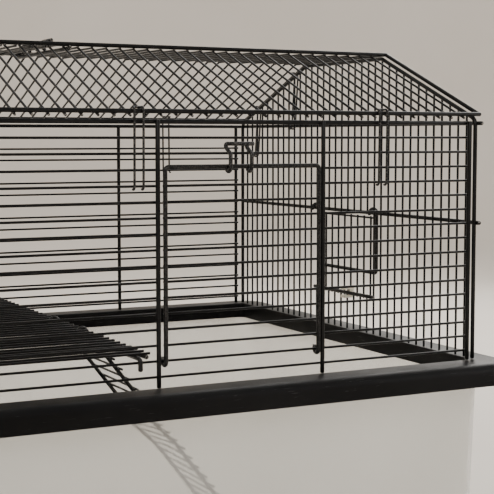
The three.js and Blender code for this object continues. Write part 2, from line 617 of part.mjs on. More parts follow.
// ---- Shelf: lengthwise bars on five cross wires, two of them hooked over a bar of the long walls ----
function shelf() {
  const pieces = range(0, SHELF_SPACES).map((index) => {
    const y = -SHELF_HALF_DEPTH + index * SHELF_PITCH;
    const from = point(SHELF_LEFT - SHELF_STUB, y, SHELF_HEIGHT);
    return wire(from, point(SHELF_RIGHT + SHELF_STUB, y, SHELF_HEIGHT), THIN);
  });
  const hookY = HALF_DEPTH + 4.6;
  const hookZ = rowHeight(DOOR_HINGE_ROW) - 6;
  [SHELF_LEFT + SHELF_HOOK_INSET, SHELF_RIGHT - SHELF_HOOK_INSET].forEach((x) => {
    const path = [
      point(x, -hookY, hookZ),
      point(x, -hookY, SHELF_WIRE_HEIGHT),
      point(x, hookY, SHELF_WIRE_HEIGHT),
      point(x, hookY, hookZ),
    ];
    pieces.push(bentWire(path, THICK, X_AXIS));
  });
  const end = SHELF_HALF_DEPTH + SHELF_WIRE_STUB;
  [SHELF_LEFT, SHELF_MIDDLE, SHELF_RIGHT].forEach((x) => {
    pieces.push(wire(point(x, -end, SHELF_WIRE_HEIGHT), point(x, end, SHELF_WIRE_HEIGHT), THICK));
  });
  return weld(pieces);
}

// ---- Ladder: two rails that curl over the shelf's edge wire, with rungs across them ----
const rungSide = point(Math.cos(LADDER_ANGLE), 0, -Math.sin(LADDER_ANGLE));

function ladder() {
  const curl = 2 * THICK + GAP;
  const angle = THREE.MathUtils.radToDeg(LADDER_ANGLE);
  const down = [Math.cos(LADDER_ANGLE), -Math.sin(LADDER_ANGLE)];
  const normal = [Math.sin(LADDER_ANGLE), Math.cos(LADDER_ANGLE)];
  const at = (distance, lift, y) =>
    point(
      SHELF_RIGHT + down[0] * distance + normal[0] * (curl + lift),
      y,
      SHELF_WIRE_HEIGHT + down[1] * distance + normal[1] * (curl + lift),
    );
  const pieces = LADDER_RAILS_Y.map((y) => {
    const around = arc([SHELF_RIGHT, SHELF_WIRE_HEIGHT], curl, 250, 90 - angle);
    const path = [...around.map(([x, z]) => point(x, y, z)), at(LADDER_LENGTH, 0, y)];
    return bentWire(path, THICK, Y_AXIS);
  });
  const [nearY, farY] = [LADDER_RAILS_Y[0] - RUNG_STUB, LADDER_RAILS_Y[1] + RUNG_STUB];
  const count = Math.floor((LADDER_LENGTH - 10) / RUNG_PITCH);
  range(1, count).forEach((index) => {
    const distance = index * RUNG_PITCH;
    const rung = [nearY, farY].map((y) => at(distance, THIN_ON_THICK, y));
    pieces.push(bentWire(rung, THIN, rungSide));
  });
  return weld(pieces);
}

// ---- Assembly ----
addNode('base_tub', tub(), 'clearPlastic');
addNode('rim_frame', rimFrame(), 'blackPlastic');
addNode('front_wall_left', frontWallSide(-1), 'blackWire');
addNode('front_wall_right', frontWallSide(1), 'blackWire');
addNode('front_wall_header', frontWallStrip(0, LATCH_ROW, HEADER_FOOT, POST_TOP), 'blackWire');
addNode('front_wall_sill', frontWallStrip(DOOR_HINGE_ROW, ROWS, WALL_FOOT, DOORSILL_TOP), 'blackWire');
addNode('back_wall', backWall(), 'blackWire');
Object.entries(splitEndWall(endWall(1))).forEach(([place, body]) => {
  addNode(`end_wall_right_${place}`, body, 'blackWire');
});
addNode('end_wall_left', endWall(-1), 'blackWire');
addNode('roof_front_slope', roofSlope(-1), 'blackWire');
addNode('roof_back_slope', roofSlope(1), 'blackWire');
addNode('roof_top_left', roofTop(-1), 'blackWire');
addNode('roof_top_right', roofTop(1), 'blackWire');
addNode('front_door', frontDoor(), 'blackWire');
const doorEdge = {
  side: X_AXIS,
  at: (out, up, along) => point(LATCH_MIDDLE + along, -DOOR_OUT - out, DOOR_TOP + up),
};
addNode('front_door_latch', doorLatch(doorEdge, rowHeight(LATCH_ROW) - DOOR_TOP), 'blackWire');
addNode('side_door', sideFlap(), 'blackWire');
addNode('side_door_catch', flapCatch(), 'ivoryPlastic');
addNode('roof_hatch', roofHatch(), 'blackWire');
const hatchEdge = {
  side: Y_AXIS,
  at: (out, up, along) => point(HATCH_BAR_X + up, HATCH_LATCH_Y + along, HATCH_Z + out),
};
addNode('roof_hatch_latch', hatchLatch(hatchEdge, HATCH_FRAME_X - HATCH_BAR_X), 'blackWire');
addNode('shelf', shelf(), 'blackWire');
addNode('ladder', ladder(), 'blackWire');
CLIP_X.forEach((x, index) => {
  const place = ['inner', 'outer'][index];
  addNode(`front_clip_left_${place}`, longWallClip(frontPlane, -x), 'blackWire');
  addNode(`front_clip_right_${place}`, longWallClip(frontPlane, x), 'blackWire');
});
addNode('back_clip_left', longWallClip(backPlane, -CLIP_X[1]), 'blackWire');
addNode('back_clip_right', longWallClip(backPlane, CLIP_X[1]), 'blackWire');
[[1, 'right'], [-1, 'left']].forEach(([end, side]) => {
  addNode(`gable_clip_${side}_lower`, gableClip(end, GABLE_CLIP_Y.lower, GABLE_TIE_HEIGHT), 'blackWire');
  addNode(`gable_clip_${side}_upper`, gableClip(end, GABLE_CLIP_Y.upper, WALL_TOP), 'blackWire');
});

const cage = new THREE.Group();
cage.name = 'small_animal_cage';
cage.add(...nodes);
export default cage;
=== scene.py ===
# A wire small-animal cage: deep clear tub, black rim, black welded wire top with doors, shelf and ladder.
# Shapes are written in millimetres, in the CAD model's own frame, and meshes are made in metres.
import math
import random

import bmesh
import bpy
from mathutils import Matrix, Vector


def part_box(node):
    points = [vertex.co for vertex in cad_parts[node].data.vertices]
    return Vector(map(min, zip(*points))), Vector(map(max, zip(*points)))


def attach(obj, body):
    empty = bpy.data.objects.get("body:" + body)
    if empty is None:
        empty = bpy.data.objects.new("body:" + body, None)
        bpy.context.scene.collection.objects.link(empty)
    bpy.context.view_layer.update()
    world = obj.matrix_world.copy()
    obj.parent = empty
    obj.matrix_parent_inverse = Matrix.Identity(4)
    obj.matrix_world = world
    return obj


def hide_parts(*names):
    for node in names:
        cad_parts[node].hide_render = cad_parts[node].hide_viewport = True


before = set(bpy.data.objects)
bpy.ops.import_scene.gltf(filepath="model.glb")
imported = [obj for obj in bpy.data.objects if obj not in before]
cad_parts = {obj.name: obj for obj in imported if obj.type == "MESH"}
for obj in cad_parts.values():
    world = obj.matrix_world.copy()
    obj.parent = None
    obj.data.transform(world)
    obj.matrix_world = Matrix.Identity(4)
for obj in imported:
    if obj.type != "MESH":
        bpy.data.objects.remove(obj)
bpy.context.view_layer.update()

MM = 0.001

# ---- Dimensions, shared with the CAD model apart from bends and small rounds ----
PITCH = 12
THIN = 1.0  # radius of the thin bars; the next three are the radii of the other wires
THICK = 1.8
CLIP = 0.95
LATCH = 1.6
BITE = 0.25  # how far a welded wire sinks into the next one
GAP = 0.35  # play between pieces that only touch
THIN_ON_THICK = THIN + THICK - BITE
THICK_ON_THICK = 2 * THICK - BITE
THICK_CURL = 2 * THICK + GAP  # radius of a thick wire's curl round another
LATCH_CURL = THICK + GAP + LATCH

HALF_LENGTH = 362.5
HALF_DEPTH = 18 * PITCH
BAY = 142
ROWS = 16
RIM_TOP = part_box("rim_frame")[1].z / MM
WALL_TOP = 489
WALL_FOOT = RIM_TOP + GAP
POST_OUT = HALF_DEPTH + THIN_ON_THICK
TOP_WIRE_OUT = POST_OUT - THICK_ON_THICK
POSTS = [(bay + 0.5) * BAY for bay in range(-3, 3)]
DOOR_POSTS = POSTS[3:5]
DOOR_POST_STUB = 2  # rows end this far past the posts beside the doorway
ROW_END = POSTS[-1] + 1.8
TOP_WIRE_END = ROW_END + 3.5

EAVE_HEIGHT = 496.5
RIDGE_HEIGHT = 554
RIDGE_HALF = 6 * PITCH
ROOF_PITCH = HALF_LENGTH / 29
ROOF_SIDE_BARS = 28
LONG_WIRE_END = HALF_LENGTH + 5.5
SLOPE_ANGLE = math.atan2(RIDGE_HEIGHT - EAVE_HEIGHT, HALF_DEPTH - RIDGE_HALF)
SLOPE_LENGTH = (HALF_DEPTH - RIDGE_HALF) / math.cos(SLOPE_ANGLE)
RAFTER_X = HALF_LENGTH + 3.5
RAFTER_BEND = 6
RAFTER_STUB = 1
ROOF_BAR_BEND = 4
EAVE_STUB = 3  # roof bars reach this far below the eave wire
RIDGE_OVERLAP = 1  # wires that end at the ridge pass the ridge wire by this much
BORDER_DROP = 2 * THICK + GAP  # from the rafters down to the end walls' frame wire

END_FRAME_HALF = HALF_DEPTH
END_FRAME_BEND = 7
END_BARS = 36
CROSS_ROW = 7
CROSS_OUT = HALF_LENGTH + THIN_ON_THICK
CROSS_STUB = 5
TOP_CROSS_STUB = 6.5
SILL_HEIGHT = 325
SILL_FRONT_STUB = 4
SILL_BACK_STUB = 0.8
BAR_STUB = 1.5
FLAP_FIRST_BAR = 14
FLAP_LAST_BAR = 22

DOOR_LEFT = 76.6
DOOR_RIGHT = 209
DOOR_TOP = 455.1
DOOR_HINGE_ROW = 15
DOOR_CURL = THIN + GAP + THICK
DOOR_OUT = HALF_DEPTH + DOOR_CURL
DOOR_CORNER = 3.2
DOOR_BAR_STUB = 1
LATCH_MIDDLE = 138.2
LATCH_HALF = 9
LATCH_ROW = 2
DOOR_LATCH_BEND = 2.2
DOOR_LATCH_LEAN = 0.5  # the latch starts to lean inwards this far below the row it catches
DOOR_LATCH_RISE = 4.7  # and is upright again this far above it
DOOR_GRIP_OUT = -4.6
DOOR_GRIP_UP = 17.2
DOOR_GRIP_STUB = 6.5

FLAP_DROP = 58
FLAP_BEND = 3
FLAP_OUT = THIN_ON_THICK + THICK_CURL
FLAP_BAR_OUT = FLAP_OUT - THIN_ON_THICK
FLAP_TIE_OUT = FLAP_BAR_OUT + 2 * THIN - BITE
FLAP_TIE_DROP = 5
FLAP_TIE_STUB = 1
FLAP_BAR_STUB = 2
FLAP_FOOT = SILL_HEIGHT - 4
CATCH_ROUND = 0.5

HATCH_FRAME_X = 55.3
HATCH_BAR_X = 47.75
HATCH_LEFT_BAR_X = 4 - HATCH_BAR_X
HATCH_HALF_DEPTH = 62
HATCH_SIDE_BARS = 3
HATCH_ARM_STUB = 4
HATCH_BAR_STUB = 1
HATCH_PIVOT_Z = RIDGE_HEIGHT - THICK_ON_THICK
HATCH_Z = HATCH_PIVOT_Z + THICK_CURL
HATCH_LATCH_Y = 12
HATCH_LEG_BEND = 3
HATCH_LEG_LEAN = 1
HATCH_HOOK_BEND = 2.5
HATCH_HOOK_LEAN = 2.5
HATCH_HOOK_TOP = -0.5
HATCH_HOOK_TIP = -4.2
HOOK_ROOM = 0.4
HATCH_GRIP_OUT = 8
HATCH_GRIP_UP = 5.5
HATCH_GRIP_STUB = 3

CLIP_HALF = 3.6
CLIP_BEND = 1.3
GABLE_CLIP_ROOM = 0.5
CLIP_ROW = 4
CLIP_X = {"inner": 56, "outer": 269}
GABLE_TIE_HEIGHT = 459
GABLE_TIE_HALF = 9

SHELF_RIGHT = 63.4
SHELF_MIDDLE = -82
SHELF_LEFT = -211
SHELF_HOOK_INSET = 8.2
SHELF_HOOK_OUT = 4.6  # past the wall's rows
SHELF_HOOK_DROP = 6  # below the row that the front door turns on
SHELF_HOOK_BEND = 3
SHELF_WIRE_STUB = 2.3
SHELF_STUB = 3.5
SHELF_HEIGHT = 315
SHELF_HALF_DEPTH = 211.5
SHELF_SPACES = 35
SHELF_PITCH = 2 * SHELF_HALF_DEPTH / SHELF_SPACES
SHELF_WIRE_HEIGHT = SHELF_HEIGHT - THIN_ON_THICK
LADDER_ANGLE = math.radians(52.4)
LADDER_RAILS_Y = (-6 * SHELF_PITCH, 0)
LADDER_LENGTH = 386
LADDER_BARE_END = 10  # no rungs on the rails' last stretch
RUNG_PITCH = 11.8
RUNG_STUB = 6

RIM_INNER_X = HALF_LENGTH - 1
RIM_INNER_Y = HALF_DEPTH - 1
RIM_WIDTH = 31
RIM_HEIGHT = 18.5
RIM_WALL = 3
RIM_INNER_SKIRT = 16
RIM_ROUND = 8
RIM_MOUTH_ROUND = 1.5
RIM_GROOVE_ROUND = 1
RIM_EDGE_ROUND = 0.8
RIM_CORNER = 6  # at the inner edge, growing outwards
RIM_CORNER_GROWTH = 0.7
CORNER_STEPS = 14
TUB_OFFSET = 10
TUB_WALL = 3
TUB_DRAFT = 10.5
TUB_CORNER = 22
TUB_LEAST_CORNER = 3
TUB_BOTTOM_ROUND = 10
TUB_LEVELS = 8
TUB_LIP = 8
TUB_LIP_FILLET = 2
TUB_LIP_ROUND = 0.6
TUB_MOUTH_FLARE = 1

# ---- Finer shapes of the visual wires ----
DOME = 0.55  # height of a rounded wire end, in radii
DOME_ANGLES = (78, 50, 24)
BOW = 0.22  # most that a long bar strays from straight
BOW_STEPS = 6
WELD_LEVELS = (-72, -40, 0, 40, 72)
WELD_SIDES = 8
WELD_SWELL = (1.12, 1.32)
WELD_WEAR = 0.55
THICK_WELD = 0.8 * THICK
LATCH_WELD = 0.75 * LATCH
TIE_WELD = 0.9 * THIN


def row_height(row):
    return WALL_TOP - row * PITCH


def end_bar_y(index):
    return END_FRAME_HALF - index * PITCH


GABLE_CLIP_Y = {"lower": end_bar_y(2), "upper": end_bar_y(9)}


# ---- Camera ----
CAMERA_PLACE = (-0.3194, -1.1259, 0.4774)
CAMERA_YAW = 27.12  # degrees from +Y towards +X
CAMERA_DOWN = 4.74
CAMERA_LENS = 96.65


def add_camera():
    data = bpy.data.cameras.new("camera")
    data.lens = CAMERA_LENS
    data.sensor_width = 36
    camera = bpy.data.objects.new("camera", data)
    camera.location = CAMERA_PLACE
    camera.rotation_euler = (math.radians(90 - CAMERA_DOWN), 0, math.radians(-CAMERA_YAW))
    bpy.context.scene.collection.objects.link(camera)
    bpy.context.scene.camera = camera


add_camera()


# ---- Material nodes ----
class Graph:
    """A new material, with short calls to add and link its nodes."""

    def __init__(self, name):
        self.material = bpy.data.materials.new(name)
        self.material.use_nodes = True
        self.nodes = self.material.node_tree.nodes
        self.nodes.clear()
        output = self.nodes.new("ShaderNodeOutputMaterial")
        self.shader = self.nodes.new("ShaderNodeBsdfPrincipled")
        self.link(self.shader.outputs[0], output.inputs["Surface"])
        coordinates = self.nodes.new("ShaderNodeTexCoord")
        self.place = coordinates.outputs["Object"]

    def link(self, source, target):
        self.material.node_tree.links.new(source, target)

    def set(self, **values):
        for name, value in values.items():
            self.shader.inputs[name.replace("_", " ")].default_value = value

    def noise(self, scale, detail=3.0, roughness=0.5, stretch=None):
        node = self.nodes.new("ShaderNodeTexNoise")
        node.inputs["Scale"].default_value = scale
        node.inputs["Detail"].default_value = detail
        node.inputs["Roughness"].default_value = roughness
        place = self.place
        if stretch:
            mapping = self.nodes.new("ShaderNodeMapping")
            mapping.inputs["Scale"].default_value = stretch
            self.link(place, mapping.inputs["Vector"])
            place = mapping.outputs[0]
        self.link(place, node.inputs["Vector"])
        return node.outputs[0]

    def remap(self, value, low, high, to_low=0.0, to_high=1.0):
        node = self.nodes.new("ShaderNodeMapRange")
        self.link(value, node.inputs["Value"])
        limits = {"From Min": low, "From Max": high, "To Min": to_low, "To Max": to_high}
        for name, number in limits.items():
            node.inputs[name].default_value = number
        return node.outputs[0]

    def multiply(self, first, second):
        node = self.nodes.new("ShaderNodeMath")
        node.operation = "MULTIPLY"
        self.link(first, node.inputs[0])
        self.link(second, node.inputs[1])
        return node.outputs[0]

    def mix(self, factor, first, second):
        """Mixes two colours or numbers. Each may be a value or another node's output."""
        node = self.nodes.new("ShaderNodeMix")
        colour = isinstance(second, tuple)
        node.data_type = "RGBA" if colour else "FLOAT"
        sockets = [s for s in node.inputs if s.enabled]
        self.link(factor, sockets[0])
        for socket, value in zip(sockets[1:], (first, second)):
            if isinstance(value, bpy.types.NodeSocket):
                self.link(value, socket)
            else:
                socket.default_value = (*value, 1) if colour else value
        return next(s for s in node.outputs if s.enabled)

    def attribute(self, name):
        node = self.nodes.new("ShaderNodeAttribute")
        node.attribute_name = name
        return node.outputs["Fac"]

    def facing_up(self):
        """0 on a wall and below, 1 on a level top."""
        geometry = self.nodes.new("ShaderNodeNewGeometry")
        split = self.nodes.new("ShaderNodeSeparateXYZ")
        self.link(geometry.outputs["Normal"], split.inputs[0])
        return self.remap(split.outputs["Z"], 0.35, 1.0)

    def bump(self, height, strength, distance, before=None):
        node = self.nodes.new("ShaderNodeBump")
        node.inputs["Strength"].default_value = strength
        node.inputs["Distance"].default_value = distance
        self.link(height, node.inputs["Height"])
        if before:
            self.link(before, node.inputs["Normal"])
        return node.outputs[0]

    def to(self, name, source):
        self.link(source, self.shader.inputs[name])


def coated_wire():
    """Black powder coat: orange peel, a little dust on top, worn to steel where wires rub."""
    graph = Graph("coated_wire")
    graph.set(IOR=1.45, Specular_IOR_Level=0.2)
    tones = graph.remap(graph.noise(45), 0.35, 0.65)
    shade = graph.mix(tones, (0.0015, 0.0015, 0.0017), (0.0045, 0.0045, 0.0047))
    patches = graph.remap(graph.noise(30, detail=5), 0.42, 0.7)
    dust = graph.multiply(graph.facing_up(), graph.remap(patches, 0, 1, 0.01, 0.14))
    dusty = graph.mix(dust, shade, (0.045, 0.041, 0.036))
    chips = graph.remap(graph.noise(900, detail=4), 0.5, 0.58)
    worn = graph.multiply(graph.attribute("wear"), chips)
    graph.to("Base Color", graph.mix(worn, dusty, (0.23, 0.22, 0.21)))
    graph.to("Metallic", graph.remap(worn, 0, 1, 0.0, 0.9))
    gloss = graph.remap(graph.noise(120, detail=4), 0.3, 0.7, 0.27, 0.42)
    graph.to("Roughness", graph.mix(dust, gloss, 0.75))
    peel = graph.bump(graph.noise(1400, detail=2), 0.22, 0.0002)
    graph.to("Normal", graph.bump(graph.noise(260, detail=2), 0.12, 0.0004, before=peel))
    return graph.material


def moulded_rim():
    """Satin black polypropylene: fine grain, faint flow marks, scuffs and a film of dust on top."""
    graph = Graph("moulded_rim")
    graph.set(IOR=1.49, Specular_IOR_Level=0.1)
    tones = graph.remap(graph.noise(9), 0.35, 0.65)
    shade = graph.mix(tones, (0.002, 0.002, 0.0022), (0.005, 0.005, 0.0053))
    patches = graph.remap(graph.noise(16, detail=6, roughness=0.6), 0.38, 0.7)
    dust = graph.multiply(graph.facing_up(), graph.remap(patches, 0, 1, 0.01, 0.1))
    dusty = graph.mix(dust, shade, (0.05, 0.048, 0.044))
    scratches = graph.remap(graph.noise(60, detail=5, roughness=0.7, stretch=(1, 1, 14)), 0.62, 0.74)
    scuffs = graph.multiply(scratches, graph.attribute("wear"))
    graph.to("Base Color", graph.mix(scuffs, dusty, (0.04, 0.04, 0.04)))
    gloss = graph.remap(graph.noise(22, detail=4), 0.3, 0.7, 0.36, 0.5)
    graph.to("Roughness", graph.mix(dust, gloss, 0.8))
    grain = graph.bump(graph.noise(2600, detail=2), 0.25, 0.00015)
    graph.to("Normal", graph.bump(graph.noise(14, detail=1), 0.1, 0.002, before=grain))
    return graph.material


def clear_tub():
    """Clear polypropylene with a slight milky haze, moulding ripples and fine scratches."""
    graph = Graph("clear_tub")
    graph.set(IOR=1.46, Transmission_Weight=0.78)
    cloud = graph.remap(graph.noise(3.5, detail=2), 0.3, 0.7)
    graph.to("Base Color", graph.mix(cloud, (0.86, 0.86, 0.83), (0.93, 0.93, 0.905)))
    haze = graph.remap(graph.noise(40, detail=5, roughness=0.65), 0.35, 0.75, 0.025, 0.06)
    scratches = graph.remap(graph.noise(70, detail=4, roughness=0.7, stretch=(1, 1, 9)), 0.6, 0.72)
    graph.to("Roughness", graph.mix(graph.multiply(scratches, graph.attribute("wear")), haze, 0.4))
    ripples = graph.bump(graph.noise(11, detail=1), 0.12, 0.002)
    graph.to("Normal", graph.bump(graph.noise(700, detail=2), 0.06, 0.0002, before=ripples))
    return graph.material


def ivory_plastic():
    """Matt ivory moulding, a little yellowed and grubby."""
    graph = Graph("ivory_plastic")
    graph.set(IOR=1.5, Subsurface_Weight=0.08, Subsurface_Scale=0.002)
    shade = graph.mix(graph.remap(graph.noise(160), 0.35, 0.65), (0.62, 0.58, 0.46), (0.74, 0.71, 0.6))
    grime = graph.multiply(graph.remap(graph.noise(420, detail=5), 0.5, 0.72), graph.attribute("wear"))
    graph.to("Base Color", graph.mix(grime, shade, (0.3, 0.26, 0.19)))
    graph.to("Roughness", graph.remap(graph.noise(600), 0.3, 0.7, 0.38, 0.58))
    graph.to("Normal", graph.bump(graph.noise(1800, detail=3), 0.2, 0.0002))
    return graph.material


def studio_paint():
    graph = Graph("studio_paint")
    graph.set(Specular_IOR_Level=0.1)
    tint = graph.mix(graph.remap(graph.noise(1.5), 0.3, 0.7), (0.79, 0.735, 0.665), (0.83, 0.78, 0.715))
    graph.to("Base Color", tint)
    graph.to("Roughness", graph.remap(graph.noise(8), 0.3, 0.7, 0.8, 0.95))
    return graph.material


WIRE_FINISH = coated_wire()
RIM_FINISH = moulded_rim()
TUB_FINISH = clear_tub()
CATCH_FINISH = ivory_plastic()


# ---- Mesh building ----
def add_piece(name, nodes, body, finish, vertices, faces, wear, sharp=None):
    mesh = bpy.data.meshes.new(name)
    mesh.from_pydata([Vector(v) * MM for v in vertices], [], faces)
    mesh.attributes.new("wear", "FLOAT", "POINT").data.foreach_set("value", wear)
    mesh.shade_smooth()
    if sharp:
        mesh.set_sharp_from_angle(angle=math.radians(sharp))
    mesh.materials.append(finish)
    mesh.update()
    piece = bpy.data.objects.new(name, mesh)
    bpy.context.scene.collection.objects.link(piece)
    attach(piece, body)
    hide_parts(*nodes)


def arc(centre, radius, start, end, step=15):
    """Points of an arc in a plane, as (out, up) pairs, angles in degrees from `out` towards `up`."""
    count = max(1, round(abs(end - start) / step))
    angles = [math.radians(start + (end - start) * i / count) for i in range(count + 1)]
    return [(centre[0] + radius * math.cos(a), centre[1] + radius * math.sin(a)) for a in angles]


def bent(points, radius, step=18):
    """The path with each inner corner turned into an arc of at most that radius."""
    points = [Vector(p) for p in points]
    path = [points[0]]
    for before, here, after in zip(points, points[1:], points[2:]):
        back, on = (before - here), (after - here)
        angle = back.angle(on)
        if math.pi - angle < math.radians(step):
            path.append(here)
            continue
        reach = min(radius / math.tan(angle / 2), back.length * 0.5, on.length * 0.5)
        size = reach * math.tan(angle / 2)
        back.normalize()
        on.normalize()
        centre = here + (back + on).normalized() * size / math.sin(angle / 2)
        spoke = here + back * reach - centre
        axis = back.cross(on)
        steps = math.ceil((math.pi - angle) / math.radians(step))
        for i in range(steps + 1):
            turn = Matrix.Rotation(-(math.pi - angle) * i / steps, 3, axis)
            path.append(centre + turn @ spoke)
    path.append(points[-1])
    return path


class Wires:
    """Round wires and weld spots, collected in millimetres and built as one mesh."""

    def __init__(self, seed):
        self.vertices = []
        self.faces = []
        self.wear = []
        self.random = random.Random(seed)

    def ring(self, centre, across, upward, radius, sides, wear):
        for i in range(sides):
            turn = 2 * math.pi * i / sides
            self.vertices.append(centre + (across * math.cos(turn) + upward * math.sin(turn)) * radius)
            self.wear.append(wear)

    def skin(self, first, rings, sides):
        for r in range(rings - 1):
            for i in range(sides):
                j = (i + 1) % sides
                low, high = first + r * sides, first + (r + 1) * sides
                self.faces.append((low + i, low + j, high + j, high + i))
        last = first + (rings - 1) * sides
        self.faces.append(tuple(first + i for i in reversed(range(sides))))
        self.faces.append(tuple(last + i for i in range(sides)))

    def wire(self, path, radius, wear=0.0):
        """A round wire along a path, with its cut ends rounded inside the path's length."""
        path = [Vector(p) for p in path]
        sides = 12 if radius > THIN else 10
        steps = [(b - a).normalized() for a, b in zip(path, path[1:])]
        first_dome, last_dome = (step * radius * DOME for step in (steps[0], steps[-1]))
        path[0] = path[0] + first_dome
        path[-1] = path[-1] - last_dome
        tangents = [steps[0], *((a + b).normalized() for a, b in zip(steps, steps[1:])), steps[-1]]
        ends = [(math.cos(a), math.sin(a)) for a in map(math.radians, DOME_ANGLES)]
        sections = [(path[0] - first_dome * s, steps[0], radius * c, 1.0) for c, s in ends]
        sections += [(p, t, radius, wear) for p, t in zip(path, tangents)]
        sections += [(path[-1] + last_dome * s, steps[-1], radius * c, 1.0) for c, s in reversed(ends)]
        across = steps[0].orthogonal().normalized()
        first = len(self.vertices)
        for centre, tangent, size, rubbed in sections:
            across = (across - tangent * across.dot(tangent)).normalized()
            self.ring(centre, across, tangent.cross(across), size, sides, rubbed)
        self.skin(first, len(sections), sides)

    def bar(self, start, end, radius=THIN):
        """A straight wire of a welded panel, very slightly bowed, as drawn wire is."""
        start, end = Vector(start), Vector(end)
        along = (end - start).normalized()
        side = along.orthogonal().normalized()
        aside = Matrix.Rotation(self.random.uniform(0, 2 * math.pi), 3, along) @ side
        depth = self.random.uniform(0.3, 1) * BOW * min(1, (end - start).length / 200)
        shares = [i / BOW_STEPS for i in range(BOW_STEPS + 1)]
        path = [start.lerp(end, share) + aside * depth * math.sin(math.pi * share) for share in shares]
        self.wire(path, radius)

    def weld(self, place, radius=THIN):
        """The small blob of coated metal where two wires cross."""
        size = radius * self.random.uniform(*WELD_SWELL)
        centre = Vector(place)
        east, north = Vector((1, 0, 0)), Vector((0, 1, 0))
        first = len(self.vertices)
        for level in map(math.radians, WELD_LEVELS):
            middle = centre + Vector((0, 0, size * math.sin(level)))
            self.ring(middle, east, north, size * math.cos(level), WELD_SIDES, WELD_WEAR)
        self.skin(first, len(WELD_LEVELS), WELD_SIDES)

    def build(self, name, nodes, body):
        add_piece(name, nodes, body, WIRE_FINISH, self.vertices, self.faces, self.wear)


# ---- Walls ----
def long_wall(facing, doorway):
    """The front wall (facing -1) or the back wall (facing +1)."""
    wires = Wires(seed=11 + facing)
    rows_y, posts_y = facing * HALF_DEPTH, facing * POST_OUT
    join_y = facing * (HALF_DEPTH + THIN - BITE / 2)
    top_y = facing * TOP_WIRE_OUT
    wires.bar((-TOP_WIRE_END, top_y, WALL_TOP), (TOP_WIRE_END, top_y, WALL_TOP), THICK)
    for row in range(1, ROWS + 1):
        z = row_height(row)
        spans = [(-ROW_END, ROW_END)]
        if doorway and LATCH_ROW < row < DOOR_HINGE_ROW:
            left, right = DOOR_POSTS
            spans = [(-ROW_END, left + DOOR_POST_STUB), (right - DOOR_POST_STUB, ROW_END)]
        for start, end in spans:
            wires.bar((start, rows_y, z), (end, rows_y, z))
        for x in POSTS:
            wires.weld((x, join_y, z))
    for x in POSTS:
        wires.bar((x, posts_y, WALL_FOOT), (x, posts_y, WALL_TOP + THICK), THICK)
        wires.weld((x, (posts_y + top_y) / 2, WALL_TOP), THICK_WELD)
    return wires


def front_wall():
    nodes = [f"front_wall_{place}" for place in ("left", "right", "header", "sill")]
    long_wall(-1, doorway=True).build("front_wall_wires", nodes, "cage")


def back_wall():
    long_wall(1, doorway=False).build("back_wall_wires", ["back_wall"], "cage")


def roof_line(y, drop):
    """Height of the line `drop` below the long roof wires, measured square to the roof."""
    slope = EAVE_HEIGHT + (HALF_DEPTH - abs(y)) * math.tan(SLOPE_ANGLE) - drop / math.cos(SLOPE_ANGLE)
    return min(slope, RIDGE_HEIGHT - drop)


def end_wall(end):
    """The right wall (end +1), which has the flap's doorway, or the plain left wall (end -1)."""
    wires = Wires(seed=31 + end)
    x = end * HALF_LENGTH
    cross_x = end * CROSS_OUT
    join_x = end * (HALF_LENGTH + THIN - BITE / 2)
    knee = RIDGE_HALF - BORDER_DROP * math.tan(SLOPE_ANGLE / 2)
    shoulder = (END_FRAME_HALF, roof_line(END_FRAME_HALF, BORDER_DROP))
    half_outline = [(END_FRAME_HALF, WALL_FOOT), shoulder, (knee, RIDGE_HEIGHT - BORDER_DROP)]
    outline = [(x, -y, z) for y, z in half_outline] + [(x, y, z) for y, z in reversed(half_outline)]
    wires.wire(bent(outline, END_FRAME_BEND), THICK)
    cross_z = row_height(CROSS_ROW)

    def cross_wire(start, stop, z):
        wires.bar((cross_x, start, z), (cross_x, stop, z), THICK)
        for index in range(END_BARS + 1):
            if start < end_bar_y(index) < stop:
                wires.weld((join_x, end_bar_y(index), z))

    cross_wire(-END_FRAME_HALF - TOP_CROSS_STUB, END_FRAME_HALF + TOP_CROSS_STUB, WALL_TOP)
    cross_wire(-END_FRAME_HALF - CROSS_STUB, END_FRAME_HALF + CROSS_STUB, cross_z)
    tie_y = GABLE_CLIP_Y["lower"]
    cross_wire(tie_y - GABLE_TIE_HALF, tie_y + GABLE_TIE_HALF, GABLE_TIE_HEIGHT)
    for index in range(1, END_BARS):
        y = end_bar_y(index)
        top = roof_line(y, BORDER_DROP)
        spans = [(WALL_FOOT, top)]
        if end > 0 and FLAP_FIRST_BAR <= index <= FLAP_LAST_BAR:
            spans = [(WALL_FOOT, SILL_HEIGHT + BAR_STUB), (cross_z - BAR_STUB, top)]
        for start, stop in spans:
            wires.bar((x, y, start), (x, y, stop))
        wires.weld((x, y, top))
    if end > 0:
        sill_x = x - THIN_ON_THICK
        first, last = FLAP_FIRST_BAR, FLAP_LAST_BAR + 1
        front_y, back_y = end_bar_y(last) - SILL_FRONT_STUB, end_bar_y(first) + SILL_BACK_STUB
        wires.bar((sill_x, front_y, SILL_HEIGHT), (sill_x, back_y, SILL_HEIGHT), THICK)
        for index in range(first, last + 1):
            wires.weld((x - THIN + BITE / 2, end_bar_y(index), SILL_HEIGHT))
    return wires


def end_walls():
    nodes = [f"end_wall_right_{place}" for place in ("back", "front", "header", "sill")]
    end_wall(1).build("end_wall_right_wires", nodes, "cage")
    end_wall(-1).build("end_wall_left_wires", ["end_wall_left"], "cage")


# ---- Roof ----
def slope_point(facing, x, up, drop):
    """A point on a slope: `up` from the eave along the slope, `drop` square below the long wires."""
    y = HALF_DEPTH - up * math.cos(SLOPE_ANGLE) - drop * math.sin(SLOPE_ANGLE)
    z = EAVE_HEIGHT + up * math.sin(SLOPE_ANGLE) - drop * math.cos(SLOPE_ANGLE)
    return (x, facing * y, z)


